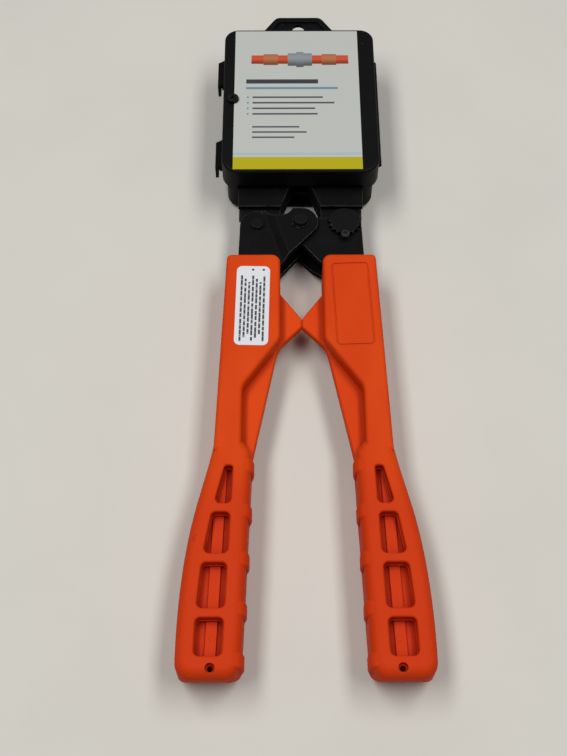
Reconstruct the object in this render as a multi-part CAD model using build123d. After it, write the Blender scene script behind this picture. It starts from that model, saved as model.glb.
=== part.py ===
from build123d import *
from math import acos, atan2, cos, degrees, radians, sin, tan
import os

os.makedirs("parts", exist_ok=True)

# A crimping tool with compound-lever jaws, its head shut in a moulded storage case.
# Sizes are in millimetres: X across the tool, Y from the grips to the jaws, Z up.
# The origin is on the rest plane, below the middle of the two jaw pivots.

# Fits and gaps
RUN_FIT = 0.05  # radial, pins that turn in their holes
PRESS_FIT = 0.01  # radial, pins held fast in their holes
FACE_GAP = 0.05  # between flat steel faces that slide on each other
MOVE_GAP = 0.3  # between pieces that move past each other

# Stack through the tool, centred on the mid plane of the handles
HANDLE_THICK = 29.0
WING_THICK = 5.2
WING_RISE = 5.65  # wing's top above the mid plane
GRIP_THICK = 29.0
JAW_THICK = 9.5
STRAP_THICK = 3.2
PLATE_THICK = 3.2

# Jaws, with a die for each ring size on the line where they meet
PIVOT_X = 19.0
PIVOT_R = 6.0
JAW_REACH = 80.0
JAW_HALF = 34.0
JAW_SHOULDER_Y = 45.0
JAW_CORNER_R = 5.0
TIP_HALF = 15.0
TIP_CHAMFER = 1.5
LARGE_DIE_R = 12.05
LARGE_DIE_Y = 38.0
SMALL_DIE_R = 8.95
SMALL_DIE_Y = 64.0
DIE_CHAMFER = 0.6
JAW_SWING = 9.5  # degrees that each jaw opens
TAIL_REACH = 49.3  # jaw pivots back to the link pins
TAIL_FLARE_Y = 10.0
TAIL_FLARE = 0.18  # how fast the inner edges part behind TAIL_FLARE_Y
TAIL_REAR_X = 11.9  # inner edges at the strap's rear
TAIL_INSIDE = 13.0  # tail inwards of its link pin

# Straps that carry the jaw pivots
STRAP_HALF = 36.8
STRAP_CLEAR = 3.8  # behind the strap to the round plate ends
STRAP_DIE_GAP = 8.0
STRAP_CORNER = 9.0
NOTCH_FRONT_Y = -16.0
NOTCH_CORNER_R = 3.0

# Link pins, centre pin and the handle plates round them
LINK_X = 25.6
LINK_END_R = 9.9
LINK_PIN_R = 3.8
LINK_PIN_RISE = 2.2
LINK_HEAD_R = 5.6
LINK_HEAD_THICK = 1.3
CENTRE_PIN_R = 4.0
CENTRE_HEAD_R = 6.6
CENTRE_HEAD_THICK = 1.2
CENTRE_RISE = 3.2
OUTER_LOBE_R = 9.9
INNER_LOBE_R = 8.0
NECK_R = 9.0  # hollow in a plate's front edge, between its two round ends
NECK_FRONT = 4.7  # bottom of that hollow, ahead of the pins
FOLD_ANGLE = 197.0  # degrees, from the centre pin straight towards the fold
FOLD_RUN = 4.8
FOLD_BEND_R = 3.0
PIN_CHAMFER = 0.5
RING_THICK = 1.0
RING_WIDTH = 1.3
RING_LUG_R = 0.9
RING_TURN = -40.0  # degrees that the centre ring's gap is turned from straight back
GROOVE_DEPTH = 0.5

# Eccentric cam in the right jaw's tail, locked to its plate by a screw
CAM_OFFSET = 0.8
CAM_R = 9.6
CAM_THICK = 2.6
CAM_TOP_R = 7.0
CAM_JAW_R = 6.0
CAM_LOW_R = 5.0
CAM_NOTCH_R = 1.5
CAM_NOTCH_STEP = 21.0  # degrees
CAM_NOTCH_COUNT = 9
LOCK_SHANK_R = 1.4
LOCK_HEAD_R = 2.6
LOCK_HEAD_THICK = 1.7
LOCK_SOCKET_R = 1.25
LOCK_SOCKET_DEPTH = 1.1

# Handle mouldings: a deep body over the plates, a thin wing with the stop, and a grip
HANDLE_FRONT = 24.5  # behind the link pins
BODY_INNER = 12.1
BODY_OUTER = 42.4
BODY_OUTER_END = 47.0
BODY_INNER_END = 32.5
BODY_WAIST_START = 55.6  # behind the body's front
BODY_WAIST_END = 85.2
BODY_LENGTH = 123.1
BODY_CORNER_R = 4.8
BODY_OUTER_R = 2.6  # the front's outer corner
BODY_UNDER_SET = 12.0  # the waist's lower half lies ahead of its upper half
BODY_WAIST_R = 9.0
BODY_EDGE_R = 2.4
WING_FRONT = 21.5  # behind the body's front
STOP_FRONT = 38.2
STOP_LENGTH = 5.2
STOP_GAP = 0.05  # between the two stops when the handles are shut
STOP_CORNER_R = 2.0
WING_BACK = 57.4
WING_BACK_X = 13.4
WING_BACK_R = 16.0
WING_END_X = 26.4
WING_EDGE_R = 1.4
WING_RUN = 9.0  # wing's run into the grip
GRIP_LENGTH = 117.6
GRIP_BLEND = 8.0  # grip's run into the body
GRIP_TUCK = 0.5  # grip's outer edge inside the body's, at the end of that run
GRIP_STEP = 1.0  # grip's outer edge outside the body's, at the body's end
GRIP_SHOULDER_R = 6.0
GRIP_SWELL = 36.0  # behind the body's end
GRIP_SWELL_X = 56.4
GRIP_HEEL = 34.0  # ahead of the grip's end
GRIP_HEEL_X = 62.2
GRIP_END_X = 62.6
GRIP_INNER = 27.0
GRIP_INNER_END = 31.4
GRIP_CORNER_R = 8.5
GRIP_EDGE_R = 6.0
GRIP_TAIL_R = 22.0  # under the grip's end
RIB_FIRST = 7.7  # behind the body's end
RIB_LAST = 8.9  # ahead of the grip's end
RIB_COUNT = 5
RIB_LENGTH = 8.2
RIB_PROUD = 1.6
RIB_ROOT = 7.0
RIB_INSET = 0.6  # ribs stop short of the grip's faces
RIB_ROUND_R = 6.0
RIB_SWELL_R = 22.0  # round of the ribs' outer faces
RIB_PEAK = 9.5  # where they stand furthest out, below the grip's face
RIB_EDGE_R = 1.6
POCKET_INSET = 9.2  # wall left round the hollows
POCKET_FIRST = 8.6  # behind the body's end
POCKET_LENGTHS = (20.8, 21.8, 23.0)
POCKET_BAR = 4.8  # between one hollow and the next
POCKET_LAST = 10.4  # the fourth hollow's end, ahead of the grip's end
POCKET_DEPTH = 7.2
POCKET_CORNER_R = 2.6
POCKET_TIP_R = 1.5  # the first hollow's narrow end
POCKET_RIM_R = 1.2
POCKET_LEDGE = 0.6  # step round each hollow's wall
POCKET_LEDGE_DEPTH = 4.4
CORE_WIDTH = 5.4  # flat bar along the hollows' floors
CORE_INSET = 12.4  # from the grip's inner edge
CORE_RISE = 1.2
LANYARD_R = 1.5
LANYARD_X = 45.6
LANYARD_END = 4.6
LANYARD_MOUTH_R = 2.4
LANYARD_MOUTH_DEPTH = 2.4
TANG_OUTER = 36.6
TANG_INNER = 18.0
TANG_SHOULDER = 9.8  # plates narrow to their tangs inside the body
TANG_LENGTH = 47.0
PANEL_LENGTH = 54.0
PANEL_WIDTH = 21.0
PANEL_FRONT = 6.6
PANEL_X = 28.2
PANEL_TILT = 2.2  # degrees, along the body's outer edge
PANEL_CORNER_R = 2.5
PANEL_GROOVE = 0.9
PANEL_GROOVE_DEPTH = 0.4
STICKER_LENGTH = 51.6
STICKER_WIDTH = 18.7
STICKER_FRONT = 9.0
STICKER_X = 27.6
STICKER_TILT = 1.2
STICKER_CORNER_R = 3.2
STICKER_THICK = 0.15

# Storage case: a tray under the head, a cover hinged on its right, and a hang tab
TRAY_HALF = 44.0
TRAY_REAR = -20.5
TRAY_FAR = 88.0
TRAY_HEIGHT = 22.0
COVER_LAP = 2.5  # cover stands out beyond the tray all round
COVER_HEIGHT = 16.4
CASE_WALL = 1.8
TRAY_FLOOR = 2.0
COVER_ROOF = 2.0
CASE_REAR_R = 8.0
CASE_FAR_R = 6.0
CASE_EDGE_R = 1.5  # cover's upper edge
TRAY_EDGE_R = 3.6  # tray's lower edge
MOUTH_CLEAR = 0.4  # beside the strap
MOUTH_RISE = 3.2  # above the strap
PAD_SIZE = 12.0
PAD_X = 25.0
PAD_FRONT_Y = 8.0
PAD_REAR_Y = -12.0
TAB_LENGTH = 32.0
TAB_END_HALF = 14.3
TAB_BASE_HALF = 36.5
TAB_TOP = 20.0
TAB_THICK = 4.0
TAB_RIM = 3.6
TAB_RECESS = 1.5
TAB_CORNER_R = 5.0
HANG_HOLE_R = 4.2
HANG_HOLE_END = 8.8
HINGE_FIRST_Y = -5.0
HINGE_LENGTH = 82.0
HINGE_KNUCKLES = 5
HINGE_OUT = 0.8  # hinge axis beyond the cover's wall
HINGE_R = 2.0
HINGE_PIN_R = 1.0
LUG_Y = (56.1, -8.5)
LUG_LENGTH = 21.0
LUG_SLANT = 3.4
LUG_OUT = 4.4
LUG_TOP = 26.4
LUG_BLOCK_LOW = 22.6
HASP_THICK = 1.8
HASP_LOW = 17.2
HASP_TAIL = 1.6
CATCH_LENGTH = 12.0
CATCH_LOW = 18.0
CATCH_HIGH = 21.6
SCREW_INSET = 6.1  # from the cover's left wall
SCREW_Y = 32.2
SCREW_R = 1.6
SCREW_HEAD_R = 3.4
SCREW_HEAD_THICK = 2.2
SCREW_DOME_R = 0.9
SCREW_BOSS_R = 3.5
SCREW_TAB_THICK = 2.3
SCREW_TAB_LENGTH = 10.0
CROSS_LENGTH = 4.2
CROSS_WIDTH = 0.9
CROSS_DEPTH = 1.3
LABEL_LEFT_MARGIN = 6.7
LABEL_RIGHT_MARGIN = 10.1
LABEL_END_MARGIN = 1.8
LABEL_THICK = 0.45
LABEL_RECESS = 0.3
LABEL_FIT = 0.15
LEAFLET_SIDE = 12.0  # from the cover's side walls
LEAFLET_ENDS = (9.0, 6.5)  # from the cover's rear and far walls
LEAFLET_THICK = 1.3
RAIL_WALL = 1.4
RAIL_FOOT = 3.2
RAIL_CLEAR = 0.3

# Flat steel gauge for finished crimps, lying on the upper strap
GAUGE_LENGTH = 66.0
GAUGE_WIDTH = 34.0
GAUGE_THICK = 2.5
GAUGE_LARGE = (24.38, 24.0)
GAUGE_SMALL = (18.16, 17.78)
GAUGE_LARGE_DEPTH = 14.0
GAUGE_SMALL_DEPTH = 8.5
GAUGE_CORNER_R = 1.5

# Levels that follow from the stack
MID_Z = HANDLE_THICK / 2
JAW_LOW = MID_Z - JAW_THICK / 2
JAW_HIGH = MID_Z + JAW_THICK / 2
PLATE_LOW = JAW_HIGH + FACE_GAP
PLATE_HIGH = PLATE_LOW + PLATE_THICK
STRAP_HIGH = PLATE_LOW + STRAP_THICK
LOBE_STEP = PLATE_THICK + FACE_GAP
LOBE_LOW = PLATE_LOW + LOBE_STEP
LOBE_HIGH = PLATE_HIGH + LOBE_STEP
CAM_TOP = PLATE_HIGH + CAM_THICK
CAM_RING_HIGH = 2 * MID_Z - PLATE_HIGH - FACE_GAP
CAM_END = CAM_RING_HIGH - RING_THICK - GROOVE_DEPTH
GRIP_LOW = MID_Z - GRIP_THICK / 2
GRIP_HIGH = MID_Z + GRIP_THICK / 2

# Places that follow from the linkage and the handles
LINK_Y = -TAIL_REACH
STRAP_REAR_Y = LINK_Y + LINK_END_R + STRAP_CLEAR
STRAP_FRONT_Y = LARGE_DIE_Y - LARGE_DIE_R - STRAP_DIE_GAP
CAM_Y = LINK_Y + CAM_OFFSET
LOCK_Y = CAM_Y - CAM_R
BODY_Y = LINK_Y - HANDLE_FRONT
GRIP_Y = BODY_Y - BODY_LENGTH
GRIP_END_Y = GRIP_Y - GRIP_LENGTH

# Places that follow from the case
COVER_HALF = TRAY_HALF + COVER_LAP
COVER_REAR = TRAY_REAR - COVER_LAP
COVER_FAR = TRAY_FAR + COVER_LAP
COVER_LOW = TRAY_HEIGHT + MOVE_GAP
COVER_HIGH = COVER_LOW + COVER_HEIGHT
ROOF_LOW = COVER_HIGH - COVER_ROOF
MOUTH_HALF = STRAP_HALF + MOUTH_CLEAR
LABEL_LEFT = -COVER_HALF + LABEL_LEFT_MARGIN
LABEL_RIGHT = COVER_HALF - LABEL_RIGHT_MARGIN
LABEL_LOW = COVER_HIGH - LABEL_RECESS
LABEL_HIGH = LABEL_LOW + LABEL_THICK
HINGE_X = COVER_HALF + HINGE_OUT
HINGE_Z = TRAY_HEIGHT + MOVE_GAP / 2
KNUCKLE_LENGTH = HINGE_LENGTH / HINGE_KNUCKLES
SCREW_X = -COVER_HALF + SCREW_INSET
LEAFLET_HALF = COVER_HALF - LEAFLET_SIDE
LEAFLET_REAR = COVER_REAR + LEAFLET_ENDS[0]
LEAFLET_FAR = COVER_FAR - LEAFLET_ENDS[1]
SCREW_SEAT = LABEL_HIGH + PRESS_FIT
LUG_X = -COVER_HALF - LUG_OUT


def outline(*points):
    return make_face(Polyline(*points, close=True))


def prism(face, low, high):
    return extrude(Pos(0, 0, low) * face, amount=high - low, dir=(0, 0, 1))


def block(x, y, z):
    """Box between two limits along each axis."""
    size = (x[1] - x[0], y[1] - y[0], z[1] - z[0])
    middle = ((x[0] + x[1]) / 2, (y[0] + y[1]) / 2, (z[0] + z[1]) / 2)
    return Pos(*middle) * Box(*size)


def rod(x, y, radius, low, high):
    """Upright cylinder between two levels."""
    return Pos(x, y, (low + high) / 2) * Cylinder(radius, high - low)


def bar(radius, y0, y1):
    """Cylinder on the case's hinge axis."""
    return Pos(HINGE_X, (y0 + y1) / 2, HINGE_Z) * Rot(90, 0, 0) * Cylinder(radius, y1 - y0)


def rim_edges(solid):
    """Edges round the top and bottom faces of an upright prism."""
    ends = solid.faces().sort_by(Axis.Z)
    return ends[0].edges() + ends[-1].edges()


def mirrored(shape):
    return mirror(shape, about=Plane.YZ)


def turned_over(shape):
    """Half a turn about the tool's own length, which swaps sides and faces."""
    return Pos(0, 0, 2 * MID_Z) * Rot(0, 180, 0) * shape


def jaw_flare(y):
    """Inner edge of the right jaw's tail at a place along the tool."""
    return MOVE_GAP / 2 + (TAIL_FLARE_Y - y) * TAIL_FLARE


def right_link(jaw_turn):
    """Right link pin when its jaw has opened by so many degrees."""
    turn = radians(jaw_turn)
    x = LINK_X - PIVOT_X
    return (
        PIVOT_X + x * cos(turn) - TAIL_REACH * sin(turn),
        -x * sin(turn) - TAIL_REACH * cos(turn),
    )


HANDLE_SWING = degrees(acos(right_link(JAW_SWING)[0] / LINK_X))
PATH_STEPS = 8


def open_pivot_path():
    """Centre pin's places in the right plates, measured from its place when shut.

    The jaws and handles turn at a steady ratio, so between the shut and open ends
    the pin wanders a little in the right plates, which have a wide hole for it."""
    path = []
    for step in range(PATH_STEPS + 1):
        share = step / PATH_STEPS
        turn = radians(HANDLE_SWING * share)
        drift = 2 * (LINK_X * cos(turn) - right_link(JAW_SWING * share)[0])
        path.append((drift * cos(turn), -drift * sin(turn)))
    return path


def fold_distance():
    """How far the fold in a joggled plate stays clear of the other plate's lobe."""
    turn = radians(FOLD_ANGLE)
    reach = max(-x * cos(turn) + y * sin(turn) for x, y in open_pivot_path())
    return INNER_LOBE_R + reach + MOVE_GAP


def right_jaw_blank():
    front = outline(
        (MOVE_GAP / 2, TAIL_FLARE_Y),
        (MOVE_GAP / 2, JAW_REACH - TIP_CHAMFER),
        (MOVE_GAP / 2 + TIP_CHAMFER, JAW_REACH),
        (TIP_HALF, JAW_REACH),
        (JAW_HALF, JAW_SHOULDER_Y),
        (LINK_X + LINK_END_R, LINK_Y),
        (LINK_X - TAIL_INSIDE, LINK_Y),
        (TAIL_REAR_X, STRAP_REAR_Y),
        (jaw_flare(NOTCH_FRONT_Y), NOTCH_FRONT_Y),
    )
    outer = front.vertices().sort_by(Axis.X)[-2]
    tip = front.vertices().group_by(Axis.Y)[-1].sort_by(Axis.X)[-1]
    front = fillet([outer, tip], JAW_CORNER_R)
    tail = make_hull(
        (Pos(LINK_X, LINK_Y) * Circle(LINK_END_R)).edges()
        + Line((LINK_X - TAIL_INSIDE, LINK_Y), (LINK_X, LINK_Y)).edges()
    )
    jaw = prism(front + tail, JAW_LOW, JAW_HIGH)
    for y, radius in ((LARGE_DIE_Y, LARGE_DIE_R), (SMALL_DIE_Y, SMALL_DIE_R)):
        jaw -= rod(0, y, radius, JAW_LOW, JAW_HIGH)
        mouth = Cone(radius + DIE_CHAMFER, radius, DIE_CHAMFER)
        jaw -= Pos(0, y, JAW_HIGH - DIE_CHAMFER / 2) * Rot(180, 0, 0) * mouth
        jaw -= Pos(0, y, JAW_LOW + DIE_CHAMFER / 2) * mouth
    return jaw - rod(PIVOT_X, 0, PIVOT_R + RUN_FIT, JAW_LOW, JAW_HIGH)


def right_jaw():
    return right_jaw_blank() - rod(LINK_X, LINK_Y, CAM_JAW_R + RUN_FIT, JAW_LOW, JAW_HIGH)


def left_jaw():
    hole = rod(-LINK_X, LINK_Y, LINK_PIN_R + PRESS_FIT, JAW_LOW, JAW_HIGH)
    return mirrored(right_jaw_blank()) - hole


def strap_top():
    half = outline(
        (TAIL_REAR_X, STRAP_REAR_Y),
        (STRAP_HALF, STRAP_REAR_Y),
        (STRAP_HALF, STRAP_FRONT_Y - STRAP_CORNER),
        (STRAP_HALF - STRAP_CORNER, STRAP_FRONT_Y),
        (0, STRAP_FRONT_Y),
        (0, NOTCH_FRONT_Y),
        (jaw_flare(NOTCH_FRONT_Y), NOTCH_FRONT_Y),
    )
    plate = half + mirrored(half)
    corners = [v for v in plate.vertices() if abs(v.Y - NOTCH_FRONT_Y) < PRESS_FIT]
    plate = fillet(corners, NOTCH_CORNER_R)
    strap = prism(plate, PLATE_LOW, STRAP_HIGH)
    for x in (-PIVOT_X, PIVOT_X):
        strap -= rod(x, 0, PIVOT_R + PRESS_FIT, PLATE_LOW, STRAP_HIGH)
    return strap


def jaw_pivot_pins():
    pin = rod(PIVOT_X, 0, PIVOT_R, 2 * MID_Z - STRAP_HIGH, STRAP_HIGH)
    pin = chamfer(rim_edges(pin), PIN_CHAMFER)
    return Compound(children=[pin, mirrored(pin)])


def plate_face(lobe_radius):
    """Right handle's plate: round at the link pin and the centre pin, with a tang behind."""
    shoulder = BODY_Y - TANG_SHOULDER
    head = make_hull(
        (Pos(LINK_X, LINK_Y) * Circle(LINK_END_R)).edges()
        + (Pos(0, LINK_Y) * Circle(lobe_radius)).edges()
        + Line((TANG_INNER, shoulder), (TANG_OUTER, shoulder)).edges()
    )
    tang = outline(
        (TANG_INNER, shoulder),
        (TANG_OUTER, shoulder),
        (TANG_OUTER, BODY_Y - TANG_LENGTH),
        (TANG_INNER, BODY_Y - TANG_LENGTH),
    )
    neck = Pos(LINK_X / 2, LINK_Y + NECK_FRONT + NECK_R) * Circle(NECK_R)
    return head + tang - neck


def flat_plate():
    """Upper right plate, whose lobe lies under the joggled one."""
    return prism(plate_face(INNER_LOBE_R), PLATE_LOW, PLATE_HIGH)


def joggled_plate():
    """Upper left plate, which steps up over the right handle's plate at the centre pin."""
    turn = radians(FOLD_ANGLE)
    across = Vector(cos(turn), sin(turn), 0)
    section = Plane(origin=(0, LINK_Y, 0), x_dir=across, z_dir=across.cross(Vector(0, 0, 1)))
    far = TANG_OUTER - BODY_Y + TANG_LENGTH
    bend = atan2(LOBE_STEP, FOLD_RUN)
    start = fold_distance() + FOLD_BEND_R * tan(bend / 2)
    end = start + FOLD_RUN
    sheet = make_face(
        FilletPolyline(
            (-far, LOBE_LOW),
            (start, LOBE_LOW),
            (end, PLATE_LOW),
            (far, PLATE_LOW),
            (far, PLATE_HIGH),
            (end, PLATE_HIGH),
            (start, LOBE_HIGH),
            (-far, LOBE_HIGH),
            radius=FOLD_BEND_R,
            close=True,
        )
    )
    bent = extrude(section * sheet, amount=far, both=True)
    return bent & prism(mirrored(plate_face(OUTER_LOBE_R)), PLATE_LOW, LOBE_HIGH)


def open_pivot_hole(low, high):
    """Wide hole for the centre pin, round every place that it takes up."""
    places = ShapeList()
    for x, y in open_pivot_path():
        places += (Pos(x, LINK_Y + y) * Circle(CENTRE_PIN_R + MOVE_GAP)).edges()
    return prism(make_hull(places), low, high)


def left_top_plate():
    plate = joggled_plate()
    plate -= rod(-LINK_X, LINK_Y, LINK_PIN_R + RUN_FIT, PLATE_LOW, LOBE_HIGH)
    return plate - rod(0, LINK_Y, CENTRE_PIN_R + PRESS_FIT, PLATE_LOW, LOBE_HIGH)


def left_bottom_plate():
    plate = turned_over(flat_plate())
    high = 2 * MID_Z - PLATE_LOW
    low = 2 * MID_Z - PLATE_HIGH
    plate -= rod(-LINK_X, LINK_Y, LINK_PIN_R + RUN_FIT, low, high)
    return plate - rod(0, LINK_Y, CENTRE_PIN_R + PRESS_FIT, low, high)


def right_top_plate():
    plate = flat_plate() - open_pivot_hole(PLATE_LOW, PLATE_HIGH)
    plate -= rod(LINK_X, CAM_Y, CAM_TOP_R + PRESS_FIT, PLATE_LOW, PLATE_HIGH)
    return plate - rod(LINK_X, LOCK_Y, LOCK_SHANK_R + PRESS_FIT, PLATE_LOW, PLATE_HIGH)


def right_bottom_plate():
    plate = turned_over(joggled_plate())
    low = 2 * MID_Z - LOBE_HIGH
    high = 2 * MID_Z - PLATE_LOW
    plate -= rod(LINK_X, CAM_Y, CAM_LOW_R + PRESS_FIT, low, high)
    return plate - open_pivot_hole(low, high)


def left_link_pin():
    """Pin fast in the left jaw's tail, headed below and staked above."""
    seat = 2 * MID_Z - PLATE_HIGH - FACE_GAP
    pin = rod(-LINK_X, LINK_Y, LINK_PIN_R, seat, PLATE_HIGH + LINK_PIN_RISE)
    pin = chamfer(pin.edges().group_by(Axis.Z)[-1], PIN_CHAMFER)
    return pin + rod(-LINK_X, LINK_Y, LINK_HEAD_R, seat - LINK_HEAD_THICK, seat)


def snap_ring(inner):
    """Retaining ring with a gap and two lugs, open towards the grips."""
    ring = rod(0, 0, inner + RING_WIDTH, 0, RING_THICK)
    ring -= rod(0, 0, inner, 0, RING_THICK)
    gap = RING_LUG_R
    reach = inner + RING_WIDTH + 2 * RING_LUG_R
    for side in (-1, 1):
        lug_x = side * (gap + RING_LUG_R)
        ring += rod(lug_x, -inner - RING_WIDTH, RING_LUG_R, 0, RING_THICK)
    return ring - block((-gap, gap), (-reach, 0), (0, RING_THICK))


def centre_pin():
    """Pin fast in the left plates, headed below and held by a ring above."""
    seat = 2 * MID_Z - LOBE_HIGH - FACE_GAP
    top = LOBE_HIGH + CENTRE_RISE
    pin = rod(0, LINK_Y, CENTRE_PIN_R, seat, top)
    pin = chamfer(pin.edges().group_by(Axis.Z)[-1], PIN_CHAMFER)
    groove = rod(0, LINK_Y, CENTRE_PIN_R, LOBE_HIGH, LOBE_HIGH + RING_THICK)
    groove -= rod(0, LINK_Y, CENTRE_PIN_R - GROOVE_DEPTH, LOBE_HIGH, LOBE_HIGH + RING_THICK)
    pin -= groove
    return pin + rod(0, LINK_Y, CENTRE_HEAD_R, seat - CENTRE_HEAD_THICK, seat)


def centre_ring():
    ring = snap_ring(CENTRE_PIN_R - GROOVE_DEPTH + PRESS_FIT)
    return Pos(0, LINK_Y, LOBE_HIGH) * Rot(0, 0, RING_TURN) * ring


def cam_adjuster():
    """Notched disc on a stepped journal, whose middle step runs off centre in the jaw."""
    cam = rod(LINK_X, CAM_Y, CAM_R, PLATE_HIGH, CAM_TOP)
    cam = chamfer(cam.edges().group_by(Axis.Z)[-1], PIN_CHAMFER)
    for notch in range(CAM_NOTCH_COUNT):
        turn = radians(270 + (notch - CAM_NOTCH_COUNT // 2) * CAM_NOTCH_STEP)
        x = LINK_X + CAM_R * cos(turn)
        y = CAM_Y + CAM_R * sin(turn)
        cam -= rod(x, y, CAM_NOTCH_R, PLATE_HIGH, CAM_TOP)
    low_step = 2 * MID_Z - PLATE_LOW
    cam += rod(LINK_X, CAM_Y, CAM_TOP_R, PLATE_LOW, PLATE_HIGH)
    cam += rod(LINK_X, LINK_Y, CAM_JAW_R, low_step, PLATE_LOW)
    cam += rod(LINK_X, CAM_Y, CAM_LOW_R, CAM_END, low_step)
    groove = rod(LINK_X, CAM_Y, CAM_LOW_R, CAM_RING_HIGH - RING_THICK, CAM_RING_HIGH)
    core = rod(LINK_X, CAM_Y, CAM_LOW_R - GROOVE_DEPTH, CAM_RING_HIGH - RING_THICK, CAM_RING_HIGH)
    return cam - (groove - core)


def cam_ring():
    ring = snap_ring(CAM_LOW_R - GROOVE_DEPTH + PRESS_FIT)
    return Pos(LINK_X, CAM_Y, CAM_RING_HIGH - RING_THICK) * ring


def cam_lock_screw():
    """Socket screw through the rearmost notch, with its head over the disc's rim."""
    top = CAM_TOP + LOCK_HEAD_THICK
    screw = rod(LINK_X, LOCK_Y, LOCK_HEAD_R, CAM_TOP, top)
    screw = chamfer(screw.edges().group_by(Axis.Z)[-1], PIN_CHAMFER)
    screw += rod(LINK_X, LOCK_Y, LOCK_SHANK_R, PLATE_LOW, CAM_TOP)
    socket = Pos(LINK_X, LOCK_Y) * RegularPolygon(LOCK_SOCKET_R, 6)
    return screw - prism(socket, top - LOCK_SOCKET_DEPTH, top)


def grip_edge(y):
    """Inner edge of the right grip, between its ribs."""
    share = (GRIP_Y - y) / GRIP_LENGTH
    return GRIP_INNER + (GRIP_INNER_END - GRIP_INNER) * share


def palm_line():
    """Outer edge of the right grip, from inside the body backwards."""
    return Spline(
        (BODY_OUTER_END - GRIP_TUCK, GRIP_Y + GRIP_BLEND),
        (BODY_OUTER_END + GRIP_STEP, GRIP_Y),
        (GRIP_SWELL_X, GRIP_Y - GRIP_SWELL),
        (GRIP_HEEL_X, GRIP_END_Y + GRIP_HEEL),
        (GRIP_END_X, GRIP_END_Y),
    )


def palm_edge(y):
    """Outer edge of the right grip at a place along it."""
    level = Axis((0, y, 0), (1, 0, 0))
    return palm_line().find_intersection_points(level)[0].X


def grip_blank():
    start = GRIP_Y + GRIP_BLEND
    rest = Polyline(
        (GRIP_END_X, GRIP_END_Y),
        (GRIP_INNER_END, GRIP_END_Y),
        (GRIP_INNER, GRIP_Y),
        (BODY_INNER_END, start),
        (BODY_OUTER_END - GRIP_TUCK, start),
    )
    face = make_face([palm_line(), rest])
    face = fillet(face.vertices().group_by(Axis.Y)[0], GRIP_CORNER_R)
    face = fillet(face.vertices().sort_by(Axis.X)[0], GRIP_SHOULDER_R)
    grip = prism(face, GRIP_LOW, GRIP_HIGH)
    shown = [edge for edge in rim_edges(grip) if edge.center().Y < start - PRESS_FIT]
    return fillet(shown, GRIP_EDGE_R)


def grip_tail():
    """What the round under the grip's end leaves off."""
    corner = Pos(GRIP_END_Y, GRIP_LOW) * Rectangle(2 * GRIP_TAIL_R, 2 * GRIP_TAIL_R)
    corner -= Pos(GRIP_END_Y + GRIP_TAIL_R, GRIP_LOW + GRIP_TAIL_R) * Circle(GRIP_TAIL_R)
    return extrude(Plane.YZ * corner, amount=2 * GRIP_END_X)


def grip_ribs():
    """Finger ribs along the grip's inner edge, which fade out below its middle."""
    high = GRIP_HIGH - RIB_INSET
    rib = block((-RIB_PROUD, RIB_ROOT), (-RIB_LENGTH / 2, RIB_LENGTH / 2), (GRIP_LOW + RIB_INSET, high))
    swell = Pos(RIB_SWELL_R - RIB_PROUD, 0, GRIP_HIGH - RIB_PEAK) * Rot(90, 0, 0)
    rib &= swell * Cylinder(RIB_SWELL_R, RIB_LENGTH)
    rib = fillet(rib.edges().filter_by(Axis.Y).group_by(Axis.Z)[-1].sort_by(Axis.X)[0], RIB_ROUND_R)
    rim = [edge for end in rib.faces().filter_by(Axis.Y) for edge in end.edges()]
    rib = fillet([edge for edge in rim if edge.center().X < RIB_ROOT - MOVE_GAP], RIB_EDGE_R)
    pitch = (GRIP_LENGTH - RIB_FIRST - RIB_LAST) / (RIB_COUNT - 1)
    ribs = []
    for number in range(RIB_COUNT):
        y = GRIP_Y - RIB_FIRST - number * pitch
        ribs.append(Pos(grip_edge(y), y) * rib)
    return ribs


def core_bar(low, high):
    """Flat bar that runs along the grip, on the floors of its hollows."""
    inner = CORE_INSET
    outer = CORE_INSET + CORE_WIDTH
    face = outline(
        (grip_edge(GRIP_Y) + inner, GRIP_Y),
        (grip_edge(GRIP_Y) + outer, GRIP_Y),
        (grip_edge(GRIP_END_Y) + outer, GRIP_END_Y),
        (grip_edge(GRIP_END_Y) + inner, GRIP_END_Y),
    )
    return prism(face, low, high)


def pocket_face(front, back, inset, tip, corner):
    face = outline(
        (grip_edge(front) + inset, front),
        (palm_edge(front) - inset, front),
        (palm_edge(back) - inset, back),
        (grip_edge(back) + inset, back),
    )
    face = fillet(face.vertices().group_by(Axis.Y)[-1], tip)
    return fillet(face.vertices().group_by(Axis.Y)[0], corner)


def grip_pockets():
    """Stepped blind hollows in both faces of the grip, with a web left between them."""
    floor = POCKET_DEPTH - CORE_RISE
    core = core_bar(GRIP_LOW + floor, GRIP_HIGH - floor)
    backs = []
    front = GRIP_Y - POCKET_FIRST
    for length in POCKET_LENGTHS:
        backs.append(front - length)
        front = backs[-1] - POCKET_BAR
    backs.append(GRIP_END_Y + POCKET_LAST)
    front = GRIP_Y - POCKET_FIRST
    step = POCKET_LEDGE
    tip = POCKET_TIP_R
    corner = POCKET_CORNER_R
    cuts = []
    for back in backs:
        mouth = pocket_face(front, back, POCKET_INSET, tip, corner)
        well = pocket_face(front - step, back + step, POCKET_INSET + step, tip - step, corner - step)
        tip = corner
        cuts.append(prism(mouth, GRIP_HIGH - POCKET_LEDGE_DEPTH, GRIP_HIGH))
        cuts.append(prism(mouth, GRIP_LOW, GRIP_LOW + POCKET_LEDGE_DEPTH))
        cuts.append(prism(well, GRIP_HIGH - POCKET_DEPTH, GRIP_HIGH) - core)
        cuts.append(prism(well, GRIP_LOW, GRIP_LOW + POCKET_DEPTH) - core)
        front = back - POCKET_BAR
    return cuts


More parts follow.
